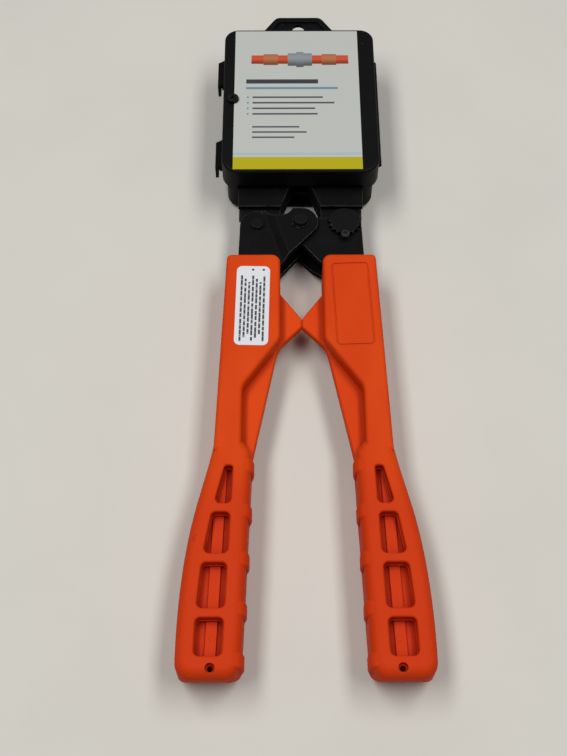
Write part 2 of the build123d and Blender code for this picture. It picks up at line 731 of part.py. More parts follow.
def pocket_rims(handle):
    """Edges where the grip's faces meet the walls of the hollows."""
    front = GRIP_Y - POCKET_FIRST + PRESS_FIT
    back = GRIP_END_Y + POCKET_LAST - PRESS_FIT
    rims = []
    for edge in handle.edges():
        place = edge.center()
        level = min(abs(place.Z - GRIP_HIGH), abs(place.Z - GRIP_LOW))
        if level > PRESS_FIT or not back < place.Y < front:
            continue
        inner = grip_edge(place.Y) + POCKET_INSET - PRESS_FIT
        outer = palm_edge(place.Y) - POCKET_INSET + PRESS_FIT
        if inner < place.X < outer:
            rims.append(edge)
    return rims


def body_half(under_set, low, high):
    """Upper or lower half of the handle's body, with a waist that narrows to the grip."""
    face = outline(
        (BODY_INNER, BODY_Y),
        (BODY_OUTER, BODY_Y),
        (BODY_OUTER_END, GRIP_Y),
        (BODY_INNER_END, GRIP_Y),
        (BODY_INNER_END, BODY_Y - BODY_WAIST_END + under_set),
        (BODY_INNER, BODY_Y - BODY_WAIST_START + under_set),
    )
    corners = face.vertices().group_by(Axis.Y)
    face = fillet(corners[1] + corners[2], BODY_WAIST_R)
    front = face.vertices().group_by(Axis.Y)[-1].sort_by(Axis.X)
    face = fillet(front[0], BODY_CORNER_R)
    outer = face.vertices().group_by(Axis.Y)[-1].sort_by(Axis.X)[-1]
    return prism(fillet(outer, BODY_OUTER_R), low, high)


def right_moulding():
    """Handle moulding with a deep body, a thin wing that carries the stop, and the grip."""
    wing_high = MID_Z + WING_RISE
    wing_low = wing_high - WING_THICK
    wing_slope = (WING_END_X - WING_BACK_X) / (BODY_LENGTH - WING_BACK)
    upper = body_half(0, MID_Z, HANDLE_THICK)
    upper = fillet(upper.faces().sort_by(Axis.Z)[-1].edges(), BODY_EDGE_R)
    lower = body_half(BODY_UNDER_SET, 0, MID_Z)
    lower = fillet(lower.faces().sort_by(Axis.Z)[0].edges(), BODY_EDGE_R)
    wing_face = outline(
        (BODY_OUTER - BODY_CORNER_R, BODY_Y - WING_FRONT),
        (BODY_INNER, BODY_Y - WING_FRONT),
        (STOP_GAP / 2, BODY_Y - STOP_FRONT),
        (STOP_GAP / 2, BODY_Y - STOP_FRONT - STOP_LENGTH),
        (WING_BACK_X, BODY_Y - WING_BACK),
        (WING_END_X + wing_slope * WING_RUN, GRIP_Y - WING_RUN),
        (BODY_OUTER - BODY_CORNER_R, GRIP_Y - WING_RUN),
    )
    wing_face = fillet(wing_face.vertices().group_by(Axis.X)[0], STOP_CORNER_R)
    back = wing_face.vertices().sort_by_distance((WING_BACK_X, BODY_Y - WING_BACK))[0]
    wing_face = fillet(back, WING_BACK_R)
    wing = prism(wing_face, wing_low, wing_high)
    wing = fillet(rim_edges(wing), WING_EDGE_R)
    handle = upper + lower + wing + grip_blank()
    for rib in grip_ribs():
        handle += rib
    for cut in grip_pockets():
        handle -= cut
    handle = fillet(pocket_rims(handle), POCKET_RIM_R)
    handle -= grip_tail()
    y = GRIP_END_Y + LANYARD_END
    handle -= rod(LANYARD_X, y, LANYARD_R, GRIP_LOW, GRIP_HIGH)
    mouth_low = GRIP_HIGH - LANYARD_MOUTH_DEPTH
    return handle - rod(LANYARD_X, y, LANYARD_MOUTH_R, mouth_low, GRIP_HIGH)


def panel_place():
    """Middle of the bordered panel on the right handle."""
    return Pos(PANEL_X, BODY_Y - PANEL_FRONT - PANEL_LENGTH / 2) * Rot(0, 0, PANEL_TILT)


def right_handle(blank, plates):
    border = RectangleRounded(PANEL_WIDTH, PANEL_LENGTH, PANEL_CORNER_R)
    border -= RectangleRounded(
        PANEL_WIDTH - 2 * PANEL_GROOVE,
        PANEL_LENGTH - 2 * PANEL_GROOVE,
        PANEL_CORNER_R - PANEL_GROOVE,
    )
    groove = prism(panel_place() * border, HANDLE_THICK - PANEL_GROOVE_DEPTH, HANDLE_THICK)
    handle = blank - groove
    for plate in plates:
        handle -= plate
    return handle


def left_handle(blank, plates):
    handle = mirrored(blank)
    for plate in plates:
        handle -= plate
    return handle


def left_sticker():
    place = Pos(-STICKER_X, BODY_Y - STICKER_FRONT - STICKER_LENGTH / 2) * Rot(0, 0, -STICKER_TILT)
    face = place * RectangleRounded(STICKER_WIDTH, STICKER_LENGTH, STICKER_CORNER_R)
    return prism(face, HANDLE_THICK, HANDLE_THICK + STICKER_THICK)


def case_face(inset):
    """Plan of the cover, or of the tray and the hollows inside it."""
    half = COVER_HALF - inset
    face = outline(
        (-half, COVER_REAR + inset),
        (half, COVER_REAR + inset),
        (half, COVER_FAR - inset),
        (-half, COVER_FAR - inset),
    )
    face = fillet(face.vertices().group_by(Axis.Y)[0], CASE_REAR_R + COVER_LAP - inset)
    return fillet(face.vertices().group_by(Axis.Y)[-1], CASE_FAR_R + COVER_LAP - inset)


def knuckle(number, web_x, web_low, web_high):
    """One barrel of the case's hinge, on a web that reaches back to its wall."""
    y0 = HINGE_FIRST_Y + number * KNUCKLE_LENGTH + MOVE_GAP / 2
    y1 = y0 + KNUCKLE_LENGTH - MOVE_GAP
    return bar(HINGE_R, y0, y1) + block((web_x, HINGE_X), (y0, y1), (web_low, web_high))


def hang_tab():
    face = outline(
        (-TAB_BASE_HALF, TRAY_FAR - CASE_WALL / 2),
        (TAB_BASE_HALF, TRAY_FAR - CASE_WALL / 2),
        (TAB_END_HALF, TRAY_FAR + TAB_LENGTH),
        (-TAB_END_HALF, TRAY_FAR + TAB_LENGTH),
    )
    face = fillet(face.vertices().group_by(Axis.Y)[-1], TAB_CORNER_R)
    tab = prism(face, TAB_TOP - TAB_THICK, TAB_TOP)
    tab -= prism(offset(face, -TAB_RIM), TAB_TOP - TAB_RECESS, TAB_TOP)
    y = TRAY_FAR + TAB_LENGTH - HANG_HOLE_END
    return tab - rod(0, y, HANG_HOLE_R, TAB_TOP - TAB_THICK, TAB_TOP)


def catch(y):
    """Wedge on the tray's left wall behind a hasp."""
    tip = LUG_X + HASP_THICK + MOVE_GAP
    root = -TRAY_HALF + CASE_WALL / 2
    profile = Plane.XZ * outline((root, CATCH_LOW), (tip, CATCH_LOW), (root, CATCH_HIGH))
    return Pos(0, y + CATCH_LENGTH, 0) * extrude(profile, amount=CATCH_LENGTH, dir=(0, -1, 0))


def case_tray():
    tray = prism(case_face(COVER_LAP), 0, TRAY_HEIGHT)
    tray = fillet(tray.faces().sort_by(Axis.Z)[0].edges(), TRAY_EDGE_R)
    tray -= prism(case_face(COVER_LAP + CASE_WALL), TRAY_FLOOR, TRAY_HEIGHT)
    mouth_y = (TRAY_REAR - CASE_WALL, TRAY_REAR + 2 * CASE_WALL)
    tray -= block((-MOUTH_HALF, MOUTH_HALF), mouth_y, (TRAY_FLOOR, TRAY_HEIGHT))
    for x in (-PAD_X, PAD_X):
        for y in (PAD_REAR_Y, PAD_FRONT_Y):
            pad = rod(x, y, PAD_SIZE / 2, TRAY_FLOOR - MOVE_GAP, 2 * MID_Z - STRAP_HIGH)
            tray += pad
    tab_low = TRAY_HEIGHT - SCREW_TAB_THICK
    tab_x = (-TRAY_HALF + CASE_WALL / 2, SCREW_X + SCREW_HEAD_R)
    tab_y = (SCREW_Y - SCREW_TAB_LENGTH / 2, SCREW_Y + SCREW_TAB_LENGTH / 2)
    tray += block(tab_x, tab_y, (tab_low, TRAY_HEIGHT))
    tray -= rod(SCREW_X, SCREW_Y, SCREW_R + MOVE_GAP, tab_low, TRAY_HEIGHT)
    for y in LUG_Y:
        tray += catch(y + (LUG_LENGTH - LUG_SLANT - CATCH_LENGTH) / 2)
    for number in range(0, HINGE_KNUCKLES, 2):
        web_high = TRAY_HEIGHT - MOVE_GAP
        tray += knuckle(number, TRAY_HALF - CASE_WALL / 2, web_high - 2 * HINGE_R, web_high)
    tray += hang_tab()
    hinge_end = HINGE_FIRST_Y + HINGE_LENGTH
    return tray - bar(HINGE_PIN_R + PRESS_FIT, HINGE_FIRST_Y, hinge_end)


def hasp(y):
    """Lug on the cover's left wall with a thin outer tongue that hangs over the catch."""
    y_end = y + LUG_LENGTH
    root = -COVER_HALF + CASE_WALL / 2
    lug = outline((root, y), (LUG_X, y), (LUG_X, y_end - LUG_SLANT), (root, y_end))
    tongue_x = (LUG_X, LUG_X + HASP_THICK)
    tongue = block(tongue_x, (y - HASP_TAIL, y_end - LUG_SLANT), (HASP_LOW, LUG_TOP))
    return prism(lug, LUG_BLOCK_LOW, LUG_TOP) + tongue


def leaflet_rail(side):
    """Hooked rail under the cover's roof, beside the leaflet."""
    low = ROOF_LOW - LEAFLET_THICK - RAIL_CLEAR - RAIL_WALL
    inner = side * (LEAFLET_HALF + RAIL_CLEAR)
    outer = inner + side * RAIL_WALL
    y = (LEAFLET_REAR, LEAFLET_FAR)
    leg = block(sorted((inner, outer)), y, (low, ROOF_LOW))
    foot_tip = inner - side * RAIL_FOOT
    return leg + block(sorted((foot_tip, outer)), y, (low, low + RAIL_WALL))


def label_face(grow):
    return outline(
        (LABEL_LEFT - grow, COVER_REAR + LABEL_END_MARGIN - grow),
        (LABEL_RIGHT + grow, COVER_REAR + LABEL_END_MARGIN - grow),
        (LABEL_RIGHT + grow, COVER_FAR - LABEL_END_MARGIN + grow),
        (LABEL_LEFT - grow, COVER_FAR - LABEL_END_MARGIN + grow),
    )


def case_cover():
    cover = prism(case_face(0), COVER_LOW, COVER_HIGH)
    cover = fillet(cover.faces().sort_by(Axis.Z)[-1].edges(), CASE_EDGE_R)
    cover -= prism(case_face(CASE_WALL), COVER_LOW, ROOF_LOW)
    mouth_y = (COVER_REAR - CASE_WALL, COVER_REAR + 2 * CASE_WALL)
    cover -= block((-MOUTH_HALF, MOUTH_HALF), mouth_y, (COVER_LOW, STRAP_HIGH + MOUTH_RISE))
    cover -= prism(label_face(LABEL_FIT), LABEL_LOW, COVER_HIGH)
    cover += rod(SCREW_X, SCREW_Y, SCREW_BOSS_R, COVER_LOW, ROOF_LOW)
    cover -= rod(SCREW_X, SCREW_Y, SCREW_R + RUN_FIT, COVER_LOW, COVER_HIGH)
    for side in (-1, 1):
        cover += leaflet_rail(side)
    for y in LUG_Y:
        cover += hasp(y)
    hinge_end = HINGE_FIRST_Y + HINGE_LENGTH
    cover -= bar(HINGE_R + MOVE_GAP, HINGE_FIRST_Y - MOVE_GAP, hinge_end + MOVE_GAP)
    for number in range(1, HINGE_KNUCKLES, 2):
        web_low = COVER_LOW + MOVE_GAP
        cover += knuckle(number, COVER_HALF - CASE_WALL, web_low, web_low + 2 * HINGE_R)
    return cover - bar(HINGE_PIN_R + RUN_FIT, HINGE_FIRST_Y, hinge_end)


def case_hinge_pin():
    return bar(HINGE_PIN_R, HINGE_FIRST_Y + MOVE_GAP, HINGE_FIRST_Y + HINGE_LENGTH - MOVE_GAP)


def case_screw():
    """Pan-head screw with a cross recess, which slides up in the cover's boss."""
    top = SCREW_SEAT + SCREW_HEAD_THICK
    tip = TRAY_HEIGHT - SCREW_TAB_THICK + MOVE_GAP
    head = rod(SCREW_X, SCREW_Y, SCREW_HEAD_R, SCREW_SEAT, top)
    head = fillet(head.edges().group_by(Axis.Z)[-1], SCREW_DOME_R)
    for length, width in ((CROSS_LENGTH, CROSS_WIDTH), (CROSS_WIDTH, CROSS_LENGTH)):
        head -= Pos(SCREW_X, SCREW_Y, top - CROSS_DEPTH / 2) * Box(length, width, CROSS_DEPTH)
    shank = rod(SCREW_X, SCREW_Y, SCREW_R, tip, SCREW_SEAT)
    return head + chamfer(shank.edges().group_by(Axis.Z)[0], PIN_CHAMFER)


def label_card():
    """Plain card in the roof's recess, cut away round the screw's shank."""
    card = prism(label_face(0), LABEL_LOW, LABEL_HIGH)
    return card - rod(SCREW_X, SCREW_Y, SCREW_R + MOVE_GAP, LABEL_LOW, LABEL_HIGH)


def instruction_leaflet():
    z = (ROOF_LOW - LEAFLET_THICK - RAIL_CLEAR, ROOF_LOW - RAIL_CLEAR)
    return block((-LEAFLET_HALF, LEAFLET_HALF), (LEAFLET_REAR, LEAFLET_FAR), z)


def crimp_gauge():
    """Flat plate with a pass and a stop notch for each ring size."""
    plate = RectangleRounded(GAUGE_LENGTH, GAUGE_WIDTH, GAUGE_CORNER_R)
    for side, large, small in zip((-1, 1), GAUGE_LARGE, GAUGE_SMALL):
        mouth = Pos(side * GAUGE_LENGTH / 2, 0) * Rectangle(2 * GAUGE_LARGE_DEPTH, large)
        plate -= mouth
        mouth = Pos(0, side * GAUGE_WIDTH / 2) * Rectangle(small, 2 * GAUGE_SMALL_DEPTH)
        plate -= mouth
    return prism(plate, STRAP_HIGH, STRAP_HIGH + GAUGE_THICK)


def build():
    left_plates = [left_top_plate(), left_bottom_plate()]
    right_plates = [right_top_plate(), right_bottom_plate()]
    blank = right_moulding()
    upper_strap = strap_top()
    return {
        "case_tray": case_tray(),
        "case_cover": case_cover(),
        "case_hinge_pin": case_hinge_pin(),
        "case_screw": case_screw(),
        "label_card": label_card(),
        "instruction_leaflet": instruction_leaflet(),
        "crimp_gauge": crimp_gauge(),
        "strap_top": upper_strap,
        "strap_bottom": turned_over(upper_strap),
        "jaw_pivot_pins": jaw_pivot_pins(),
        "left_jaw": left_jaw(),
        "right_jaw": right_jaw(),
        "left_link_pin": left_link_pin(),
        "centre_pin": centre_pin(),
        "centre_ring": centre_ring(),
        "cam_adjuster": cam_adjuster(),
        "cam_ring": cam_ring(),
        "cam_lock_screw": cam_lock_screw(),
        "left_top_plate": left_plates[0],
        "left_bottom_plate": left_plates[1],
        "right_top_plate": right_plates[0],
        "right_bottom_plate": right_plates[1],
        "left_handle": left_handle(blank, left_plates),
        "right_handle": right_handle(blank, right_plates),
        "left_sticker": left_sticker(),
    }


for name, shape in build().items():
    export_step(shape, f"parts/{name}.step")
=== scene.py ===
"""Finishes, surface marks and folded leaflet of a tubing crimp tool and its storage case."""

import math

import bpy
from bpy.props import FloatProperty, FloatVectorProperty, IntProperty, PointerProperty
from mathutils import Matrix, Vector


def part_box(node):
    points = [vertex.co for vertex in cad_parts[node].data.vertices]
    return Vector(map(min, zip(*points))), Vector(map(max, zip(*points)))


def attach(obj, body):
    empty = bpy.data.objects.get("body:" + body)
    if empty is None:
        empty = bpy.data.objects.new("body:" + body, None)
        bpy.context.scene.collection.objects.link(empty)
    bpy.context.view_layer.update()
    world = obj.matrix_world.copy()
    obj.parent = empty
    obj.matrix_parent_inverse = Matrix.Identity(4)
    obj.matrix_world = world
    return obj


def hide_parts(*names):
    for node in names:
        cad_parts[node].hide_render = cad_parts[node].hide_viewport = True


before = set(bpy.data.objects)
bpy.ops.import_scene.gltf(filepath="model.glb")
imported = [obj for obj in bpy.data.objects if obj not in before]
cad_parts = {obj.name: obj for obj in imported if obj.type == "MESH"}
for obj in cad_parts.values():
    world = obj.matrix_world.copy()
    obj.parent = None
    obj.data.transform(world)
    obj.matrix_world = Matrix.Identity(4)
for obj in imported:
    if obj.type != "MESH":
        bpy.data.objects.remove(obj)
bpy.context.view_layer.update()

bl_info = {
    "name": "Tubing Crimp Tool",
    "version": (1, 0, 0),
    "blender": (4, 5, 0),
    "location": "View3D > Sidebar > Crimp Tool",
    "description": "Finishes, surface marks and leaflet of a tubing crimp tool and its case",
    "category": "Object",
}

MM = 0.001
HANDLES = ("left_handle", "right_handle")
PLATES = ("left_top_plate", "left_bottom_plate", "right_top_plate", "right_bottom_plate")
STRAPS = ("strap_top", "strap_bottom")
JAWS = ("left_jaw", "right_jaw")
PINS = ("left_link_pin", "centre_pin", "centre_ring", "cam_adjuster", "cam_ring", "jaw_pivot_pins")
CASE_SHELLS = ("case_tray", "case_cover")
CASE_STEEL = ("case_hinge_pin", "case_screw")
DIES = ((38.0, 12.05), (64.0, 8.95))  # place along the tool and radius, mm
MID_HEIGHT = 14.5  # mould seam of the handles, mm
GRIP_FROM = -190.0  # where the grips begin, mm
GRIP_FADE = 45.0  # how far the painted shade on the grips takes to come in, mm
EJECTOR_TOPS = {  # across and along the tool, mm
    "left_handle": ((-53.9, -245.2), (-45.2, -294.3)),
    "right_handle": ((45.2, -294.3),),
}
EJECTOR_UNDERS = ((7, -106), (45.2, -294.3))  # outwards and along the tool, mm
EJECTOR_POINTS = 40  # round a mark
EJECTOR_SIDES = 8  # round its line
FOLD_POINTS = 4  # round a fold of the leaflet
TAG_TURN = math.radians(-1.2)  # slant of the tag on the handle
TURNED_ROUGHNESS = 0.42
PLATED_ROUGHNESS = 0.3
CARD_ROUGHNESS = 0.4
TAG_ROUGHNESS = 0.38
PAPER_ROUGHNESS = 0.8
FLOOR_ROUGHNESS = 0.62
FLOOR_REACH = 6.0
FLOOR_LEVEL = -0.0002  # just under the tool
FLOOR_FADE = (600.0, 1900.0)  # from here to there the floor turns into the backdrop, mm
SOFT_BOXES = (  # name, place across the tool, share of the power
    ("left_soft_box", -0.66, 1.08),
    ("right_soft_box", 0.7, 1.0),
)
SOFT_BOX_SIZE = (0.42, 1.5)
SOFT_BOX_ALONG = -0.05
SOFT_BOX_HEIGHT = 1.6
SENSOR_WIDTH = 36.0
TURN_CENTRE = (0, -0.12, 0)  # what the camera turns about


def linear(red, green, blue):
    """Screen colour, 0 to 255, as linear light."""
    def one(value):
        value = value / 255
        return value / 12.92 if value <= 0.04045 else ((value + 0.055) / 1.055) ** 2.4
    return tuple(one(value) for value in (red, green, blue))


def colour(name, description, red, green, blue):
    return FloatVectorProperty(
        name=name, description=description, subtype="COLOR", size=3, min=0.0, max=1.0,
        default=linear(red, green, blue),
    )


def length(name, description, default):
    return FloatProperty(
        name=name, description=description, unit="LENGTH", subtype="DISTANCE", default=default,
        precision=5,
    )


def share(name, description, default):
    return FloatProperty(
        name=name, description=description, subtype="FACTOR", min=0.0, max=1.0, default=default,
    )


class HandleLook(bpy.types.PropertyGroup):
    orange: colour("Orange", "Colour of the moulded handles", 209, 66, 4)
    flow: colour("Flow", "Colour of the broad flow marks in the moulding", 199, 56, 2)
    # painted shade deep in the grip's hollows and corners
    hollow_shade: colour("Hollow", "Colour deep in the grip's hollows", 150, 10, 0)
    scuff: colour("Scuff", "Colour of rubbed edges", 222, 88, 30)
    # painted shade: grips darker and redder than the body, standing in for light falling off
    grip_shade: colour("Handled", "Colour where hands hold the grips", 195, 50, 2)
    roughness: share("Roughness", "Roughness of the moulded skin", 0.66)
    grain: length("Grain", "Grain size of the spark-eroded skin", 0.36 * MM)
    mark_radius: length("Mark Radius", "Radius of an ejector mark", 1.5 * MM)
    mark_line: length("Mark Line", "Radius of the line round an ejector mark", 0.11 * MM)


class SteelLook(bpy.types.PropertyGroup):
    black: colour("Black", "Black finish of the stamped plates and jaws", 10, 10, 11)
    haze: colour("Haze", "Dry patches in the black finish", 14, 14, 15)
    # painted shade: darker colour on faces that stand upright
    upright_shade: colour("Sheared", "Sheared edges of the stamped plates and jaws", 6, 6, 7)
    worn: colour("Worn", "Bare steel on rubbed edges", 128, 126, 122)
    pin: colour("Pin", "Finish of pins, rings and cam", 14, 14, 15)
    screw: colour("Screw", "Finish of the cam's lock screw", 24, 24, 25)
    die: colour("Die", "Machined steel in the dies", 150, 148, 144)
    gauge: colour("Gauge", "Plated steel of the gauge", 158, 158, 154)
    roughness: share("Roughness", "Roughness of the black finish", 0.5)
    wear: length("Wear", "Width of the rubbed line along edges", 0.4 * MM)


class CaseLook(bpy.types.PropertyGroup):
    plastic: colour("Plastic", "Colour of the case", 9, 9, 10)
    rubbed: colour("Rubbed", "Colour of rubbed plastic edges", 62, 62, 62)
    dust: colour("Dust", "Dust on the case and the head", 120, 117, 110)
    roughness: share("Roughness", "Roughness of the case", 0.46)
    grain: length("Grain", "Grain size of the case's skin", 0.5 * MM)


class PrintLook(bpy.types.PropertyGroup):
    card: colour("Card", "White of the label card", 180, 182, 178)
    ink: colour("Ink", "Dark ink on the card", 48, 54, 62)
    teal: colour("Teal", "Second ink on the card", 92, 134, 146)
    lime: colour("Lime", "Band along the card's near edge", 170, 160, 2)
    sky: colour("Sky", "Thin band above the lime one", 158, 176, 184)
    copper: colour("Copper", "Rings drawn on the card", 176, 104, 66)
    tube: colour("Tube", "Tube drawn on the card", 196, 74, 40)
    fitting: colour("Fitting", "Fitting drawn on the card", 132, 138, 142)
    tag: colour("Tag", "White of the handle's write-on tag", 214, 215, 218)
    paper: colour("Paper", "Paper of the leaflet", 206, 203, 194)


class LeafletLook(bpy.types.PropertyGroup):
    panels: IntProperty(name="Panels", description="Panels in the folded leaflet", default=6, min=2)
    sheet: length("Sheet", "Thickness of the leaflet's paper", 0.09 * MM)
    stagger: length("Stagger", "How far the folds miss one another", 0.7 * MM)


class StageLook(bpy.types.PropertyGroup):
    floor: colour("Floor", "Colour of the floor", 204, 201, 193)
    sky: colour("Backdrop", "Colour behind the floor", 150, 150, 148)
    fill: FloatProperty(
        name="Fill", description="Strength of the light from all round", default=0.11,
    )
    lamp: FloatProperty(
        name="Lamp", description="Power of each soft box", unit="POWER", default=16.4,
    )
    eye: FloatVectorProperty(
        name="Eye", description="Place of the camera", unit="LENGTH", subtype="TRANSLATION", size=3,
        default=(-0.0103, -0.446, 0.563),
    )
    pitch: FloatProperty(
        name="Pitch", description="How far the camera looks down", unit="ROTATION", subtype="ANGLE",
        default=math.radians(61.4),
    )
    turn: FloatProperty(
        name="Turn", description="Turn of the camera about the tool's middle", unit="ROTATION",
        subtype="ANGLE", default=math.radians(-0.15),
    )
    lens: FloatProperty(
        name="Lens", description="Focal length in millimetres", unit="CAMERA", default=54.1,
    )


class CrimpToolLook(bpy.types.PropertyGroup):
    handles: PointerProperty(type=HandleLook, name="Handles", description="Handles' finish")
    steel: PointerProperty(type=SteelLook, name="Steel", description="Head's and gauge's finish")
    case: PointerProperty(type=CaseLook, name="Case", description="Case's finish")
    prints: PointerProperty(type=PrintLook, name="Prints", description="Printed pieces' colours")
    leaflet: PointerProperty(type=LeafletLook, name="Leaflet", description="Folded leaflet")
    stage: PointerProperty(type=StageLook, name="Stage", description="Floor, light and camera")


class Signal:
    """A socket's value, which Python's operators turn into Math nodes."""

    def __init__(self, nodes, socket):
        self.nodes = nodes
        self.socket = socket

    def maths(self, operation, *values):
        return self.nodes.node("ShaderNodeMath", {"operation": operation}, dict(enumerate(values)))

    def __add__(self, other):
        return self.maths("ADD", self, other)

    def __sub__(self, other):
        return self.maths("SUBTRACT", self, other)

    def __rsub__(self, other):
        return self.maths("SUBTRACT", other, self)

    def __mul__(self, other):
        return self.maths("MULTIPLY", self, other)

    def __truediv__(self, other):
        return self.maths("DIVIDE", self, other)

    def __abs__(self):
        return self.maths("ABSOLUTE", self)

    __radd__ = __add__
    __rmul__ = __mul__

    def power(self, other):
        return self.maths("POWER", self, other)

    def most(self, other):
        return self.maths("MAXIMUM", self, other)

    def floor(self):
        return self.maths("FLOOR", self)

    def sine(self):
        return self.maths("SINE", self)


def from_axis(x, y):
    """Distance from where X and Y are 0."""
    return (x * x + y * y).power(0.5)


def darker(paint, part):
    return tuple(value * part for value in paint)


class Nodes:
    """Adds nodes to a tree."""

    def __init__(self, tree):
        self.tree = tree

    def node(self, kind, settings=None, values=None, out=0):
        """One node, with its settings, then its sockets' values or links."""
        made = self.tree.nodes.new(kind)
        for name, value in (settings or {}).items():
            setattr(made, name, value)
        for key, value in (values or {}).items():
            if isinstance(value, Signal):
                self.tree.links.new(value.socket, made.inputs[key])
            else:
                made.inputs[key].default_value = value
        if isinstance(out, tuple):
            return [Signal(self, made.outputs[key]) for key in out]
        return None if out is None else Signal(self, made.outputs[out])


class Finish(Nodes):
    """A material on a piece's own coordinates, counted in millimetres."""

    EDGE_SAMPLES = 6
    HOLLOW_SAMPLES = 8

    def __init__(self, name):
        self.material = bpy.data.materials.new(name)
        self.material.use_nodes = True
        super().__init__(self.material.node_tree)
        self.tree.nodes.clear()
        place = self.node("ShaderNodeTexCoord", out="Object")
        self.place = self.vector("SCALE", place, Scale=1 / MM)

    def vector(self, operation, *values, out=0, **named):
        sockets = {**dict(enumerate(values)), **named}
        return self.node("ShaderNodeVectorMath", {"operation": operation}, sockets, out)

    def axes(self, centre=(0, 0, 0), turn=0.0):
        """X, Y and Z from a centre, with the pattern turned about Z."""
        spot = self.node(
            "ShaderNodeMapping", {"vector_type": "TEXTURE"},
            {"Vector": self.place, "Location": tuple(centre), "Rotation": (0, 0, turn)},
        )
        return self.node("ShaderNodeSeparateXYZ", None, {0: spot}, (0, 1, 2))

    def noise(self, size, detail=2.0, stretch=(1, 1, 1), shift=0.0):
        spot = self.vector("MULTIPLY_ADD", self.place, stretch, (shift,) * 3)
        sockets = {"Vector": spot, "Scale": 1 / size, "Detail": detail}
        return self.node("ShaderNodeTexNoise", None, sockets)

    def ramp(self, value, low, high):
        """0 at low, 1 at high, smooth between."""
        sockets = {"Value": value, "From Min": low, "From Max": high}
        return self.node("ShaderNodeMapRange", {"interpolation_type": "SMOOTHSTEP"}, sockets)

    def mix(self, factor, first, second):
        sockets = {0: factor, 6: self.paint(first), 7: self.paint(second)}
        return self.node("ShaderNodeMix", {"data_type": "RGBA"}, sockets, 2)

    def paint(self, value):
        return value if isinstance(value, Signal) else (*value[:3], 1.0)

    def upright(self):
        """1 on faces that stand upright on the piece, 0 on level ones."""
        facing = self.node("ShaderNodeTexCoord", out="Normal")
        _, _, up = self.node("ShaderNodeSeparateXYZ", None, {0: facing}, (0, 1, 2))
        return self.ramp(abs(up), 0.6, 0.25)

    def edges(self, width, low, high):
        """1 along outer and inner edges, 0 on flats."""
        bevel = self.rounded(width)
        facing = self.node("ShaderNodeNewGeometry", out="Normal")
        return self.ramp(1 - self.vector("DOT_PRODUCT", bevel, facing, out="Value"), low, high)

    def depth(self, reach):
        """1 deep in hollows and corners, 0 in the open."""
        settings = {"samples": self.HOLLOW_SAMPLES, "only_local": True}
        return 1 - self.node("ShaderNodeAmbientOcclusion", settings, {"Distance": reach}, "AO")

    def rounded(self, radius):
        return self.node("ShaderNodeBevel", {"samples": self.EDGE_SAMPLES}, {"Radius": radius})

    def close(
        self, base, roughness, metallic=0.0, height=None, rise=0.0, round_edge=None, shine=0.5,
    ):
        """The shader: height is bumped by rise metres over edges rounded by round_edge."""
        values = {
            "Base Color": self.paint(base), "Roughness": roughness, "Metallic": metallic,
            "Specular IOR Level": shine,
        }
        if round_edge:
            values["Normal"] = self.rounded(round_edge)
        if height is not None:
            bump = {"Height": height, "Distance": rise}
            if round_edge:
                bump["Normal"] = values["Normal"]
            values["Normal"] = self.node("ShaderNodeBump", None, bump)
        shader = self.node("ShaderNodeBsdfPrincipled", None, values)
        self.node("ShaderNodeOutputMaterial", None, {"Surface": shader}, None)
        return self.material


class Layout(Nodes):
    """A Geometry Nodes tree with named inputs."""

    def __init__(self, name, inputs):
        super().__init__(bpy.data.node_groups.new(name, "GeometryNodeTree"))
        face = self.tree.interface
        face.new_socket("Geometry", in_out="OUTPUT", socket_type="NodeSocketGeometry")
        face.new_socket("Geometry", in_out="INPUT", socket_type="NodeSocketGeometry")
        inputs = {**inputs, "Material": "NodeSocketMaterial"}
        self.keys = {
            label: face.new_socket(label, in_out="INPUT", socket_type=kind).identifier
            for label, kind in inputs.items()
        }
        labels = ("Geometry", *inputs)
        self.given = dict(zip(labels, self.node("NodeGroupInput", out=labels)))

    def close(self, geometry):
        plain = self.node("GeometryNodeRealizeInstances", None, {0: geometry})
        sockets = {"Geometry": plain, "Material": self.given["Material"]}
        done = self.node("GeometryNodeSetMaterial", None, sockets)
        self.node("NodeGroupOutput", None, {0: done}, None)

    def lay(self, piece, **values):
        """Runs the tree on a piece and leaves a plain mesh."""
        modifier = piece.modifiers.new(self.tree.name, "NODES")
        modifier.node_group = self.tree
        for label, value in values.items():
            modifier[self.keys[label.replace("_", " ")]] = value
        graph = bpy.context.evaluated_depsgraph_get()
        mesh = bpy.data.meshes.new_from_object(piece.evaluated_get(graph))
        piece.modifiers.remove(modifier)
        mesh.name = piece.name
        piece.data = mesh


def new_piece(name, points, lines=()):
    mesh = bpy.data.meshes.new(name)
    mesh.from_pydata(points, lines, [])
    piece = bpy.data.objects.new(name, mesh)
    bpy.context.scene.collection.objects.link(piece)
    return piece


def dress(material, *nodes):
    for name in nodes:
        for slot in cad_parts[name].material_slots:
            slot.material = material


def middle(node):
    """Middle of a node's box, in millimetres."""
    low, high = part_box(node)
    return (low + high) / 2 / MM


